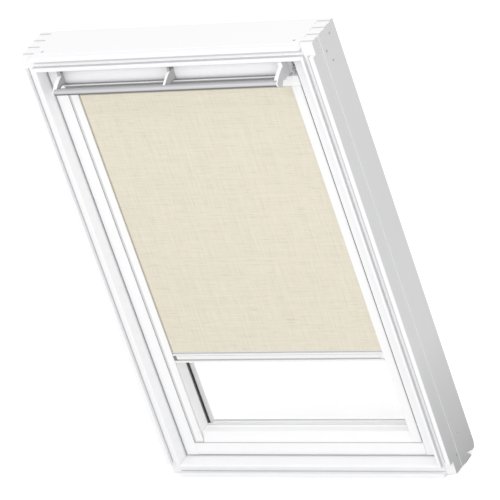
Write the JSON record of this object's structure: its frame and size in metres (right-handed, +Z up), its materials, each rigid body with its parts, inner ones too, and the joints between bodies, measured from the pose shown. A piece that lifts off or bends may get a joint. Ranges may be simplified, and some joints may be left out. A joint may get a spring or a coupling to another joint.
{
  "type": "skylight window blind",
  "caption": "Centre-pivot roof window with a ventilation flap and control bar along the top, and a roller blind drawn most of the way down in side rails.",
  "frame": {"origin": "middle of the frame's underside, halfway through its depth", "axes": "+Z up the window's slope, +X to the right seen from the room, +Y out to the weather"},
  "size_m": [0.78, 0.1617, 1.178],
  "materials": {
    "frame_paint": "white paint, satin",
    "sash_paint": "white paint, satin",
    "pivot_steel": "zinc plated",
    "latch_steel": "zinc plated",
    "pin_steel": "plain",
    "seal_rubber": "matte",
    "edge_seal_black": "matte",
    "spacer_grey": "matte",
    "window_glass": "clear",
    "cover_grey": "satin",
    "filter_foam": "open foam",
    "flap_white": "satin",
    "bracket_white": "satin",
    "bar_silver": "anodised, satin",
    "casing_white": "white, satin",
    "casing_end_white": "satin",
    "rail_white": "white, satin",
    "bottom_bar_white": "white, satin",
    "glide_plastic": "satin",
    "tube_metal": "plain",
    "plug_plastic": "satin",
    "blind_fabric": "plain weave, matte"
  },
  "bodies": {
    "frame": {"frame_left": "frame_paint", "frame_right": "frame_paint", "frame_top": "frame_paint", "frame_bottom": "frame_paint", "frame_pivot_left": "pivot_steel", "frame_pivot_right": "pivot_steel", "frame_seal": "seal_rubber", "latch_keeper": "latch_steel"},
    "sash": {"sash_left": "sash_paint", "sash_right": "sash_paint", "sash_top": "sash_paint", "sash_bottom": "sash_paint", "sash_pivot_left": "pivot_steel", "sash_pivot_right": "pivot_steel", "glass_inner": "window_glass", "glass_outer": "window_glass", "glass_spacer": "spacer_grey", "edge_seal": "edge_seal_black", "glazing_gasket": "seal_rubber", "cover_left": "cover_grey", "cover_right": "cover_grey", "cover_top": "cover_grey", "cover_bottom": "cover_grey", "latch_case": "latch_steel", "air_filter_left": "filter_foam", "air_filter_right": "filter_foam", "flap_pin_left": "pin_steel", "flap_pin_right": "pin_steel", "head_casing": "casing_white", "casing_end_left": "casing_end_white", "casing_end_right": "casing_end_white", "axle_pin_left": "pin_steel", "axle_pin_right": "pin_steel", "side_rail_left": "rail_white", "side_rail_right": "rail_white", "blind_cloth": "blind_fabric"},
    "flap": {"vent_flap": "flap_white", "bracket_left": "bracket_white", "bracket_right": "bracket_white", "bracket_middle": "bracket_white", "control_bar": "bar_silver"},
    "latch": {"latch_bolt": "latch_steel"},
    "blind_bar": {"bottom_bar": "bottom_bar_white", "glide_left": "glide_plastic", "glide_right": "glide_plastic"},
    "roller": {"roller_tube": "tube_metal", "cloth_roll": "blind_fabric", "tube_plug_left": "plug_plastic", "tube_plug_right": "plug_plastic", "spring_rod": "pin_steel"}
  },
  "joints": [
    {"name": "sash_turn", "type": "hinge", "parent": "frame", "child": "sash", "pos_m": [0, 0.005, 0.589], "axis": [1, 0, 0], "range_deg": [0, 160]},
    {"name": "flap_turn", "type": "hinge", "parent": "sash", "child": "flap", "pos_m": [0, -0.0215, 1.0965], "axis": [1, 0, 0], "range_deg": [0, 35]},
    {"name": "latch_slide", "type": "slide", "parent": "sash", "child": "latch", "axis": [0, 0, -1], "range_m": [0, 0.008]},
    {"name": "blind_slide", "type": "slide", "parent": "sash", "child": "blind_bar", "axis": [0, 0, 1], "range_m": [-0.21, 0.716], "deforming": ["blind_cloth"]},
    {"name": "roller_turn", "type": "hinge", "parent": "sash", "child": "roller", "pos_m": [0, -0.0152, 1.07025], "axis": [1, 0, 0], "range_deg": [-4110, 1210]}
  ],
  "couplings": [
    {"joint": "latch_slide", "follows": "flap_turn", "m_per_rad": 0.013},
    {"joint": "roller_turn", "follows": "blind_slide", "rad_per_m": -100}
  ]
}
